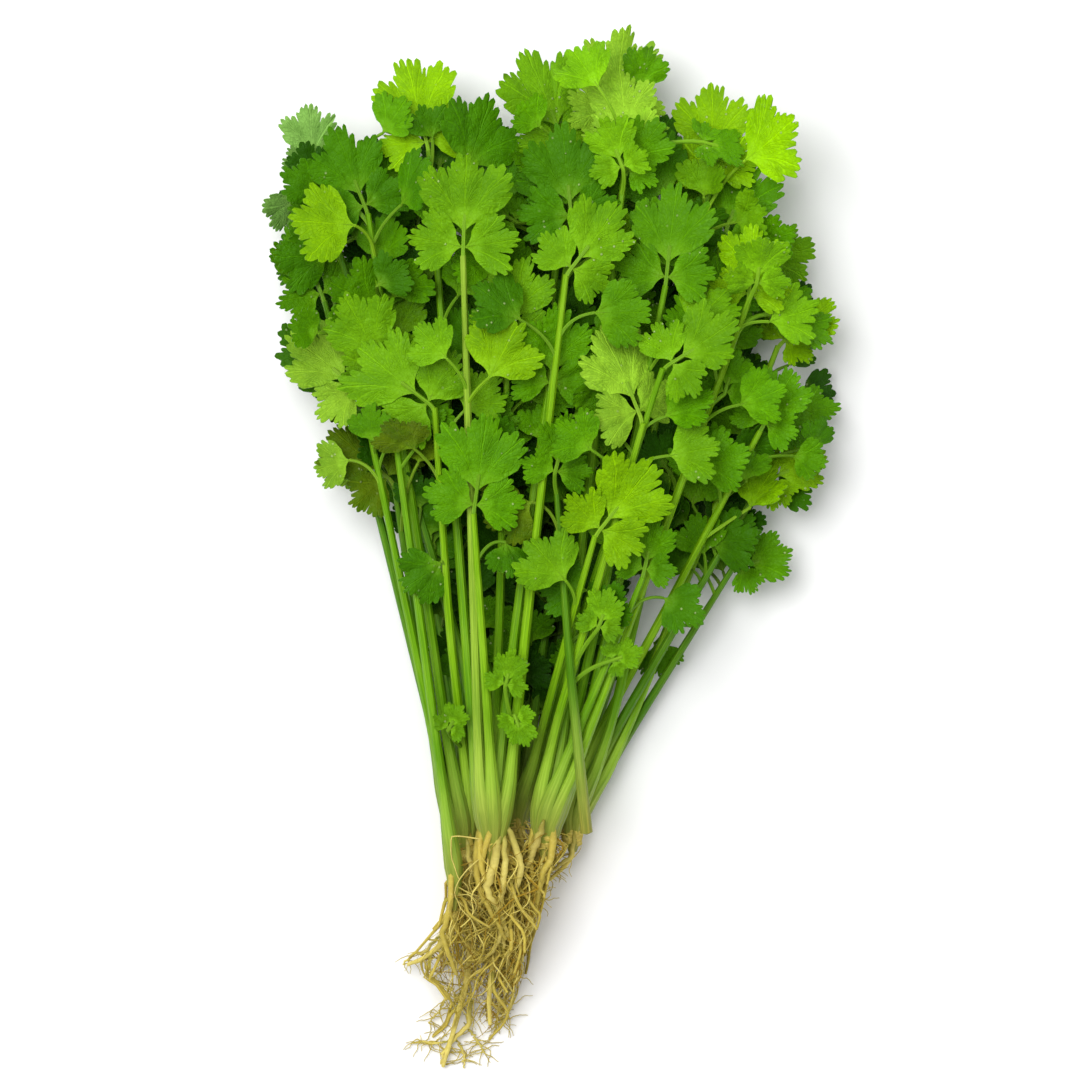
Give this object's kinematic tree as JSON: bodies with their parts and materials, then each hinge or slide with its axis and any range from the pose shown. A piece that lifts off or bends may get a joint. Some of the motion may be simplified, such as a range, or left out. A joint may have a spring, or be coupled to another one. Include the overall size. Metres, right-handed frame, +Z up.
{
  "type": "coriander bunch with roots",
  "caption": "Fresh coriander bunch lying on its side, with lobed toothed leaves, long green stems and tan fibrous roots.",
  "frame": {"origin": "a point on the surface that the bunch lies on, under the lowest leaf, near the middle of the bunch", "axes": "+Y from the roots to the leaf tips, +X to the bunch's right as the picture shows it, +Z up from the surface"},
  "size_m": [0.1805, 0.3295, 0.0577],
  "materials": {
    "green": "soft satin leaf and stem",
    "root": "dry matte fibre"
  },
  "bodies": {
    "root": {"leafy_stem_01": "green", "leafy_stem_02": "green", "leafy_stem_03": "green", "leafy_stem_04": "green", "leafy_stem_05": "green", "leafy_stem_06": "green", "leafy_stem_07": "green", "leafy_stem_08": "green", "leafy_stem_09": "green", "leafy_stem_10": "green", "leafy_stem_11": "green", "leafy_stem_12": "green", "leafy_stem_13": "green", "leafy_stem_14": "green", "leafy_stem_15": "green", "leafy_stem_16": "green", "leafy_stem_17": "green", "leafy_stem_18": "green", "leafy_stem_19": "green", "leafy_stem_20": "green", "leafy_stem_21": "green", "leafy_stem_22": "green", "leafy_stem_23": "green", "leafy_stem_24": "green", "leafy_stem_25": "green", "leafy_stem_26": "green", "leafy_stem_27": "green", "leafy_stem_28": "green", "leafy_stem_29": "green", "leafy_stem_30": "green", "leafy_stem_31": "green", "leafy_stem_32": "green", "leafy_stem_33": "green", "leafy_stem_34": "green", "leafy_stem_35": "green", "leafy_stem_36": "green", "root_far_right": "root", "root_front": "root", "root_left": "root", "root_low_left": "root", "root_middle": "root", "root_right": "root"}
  },
  "joints": []
}
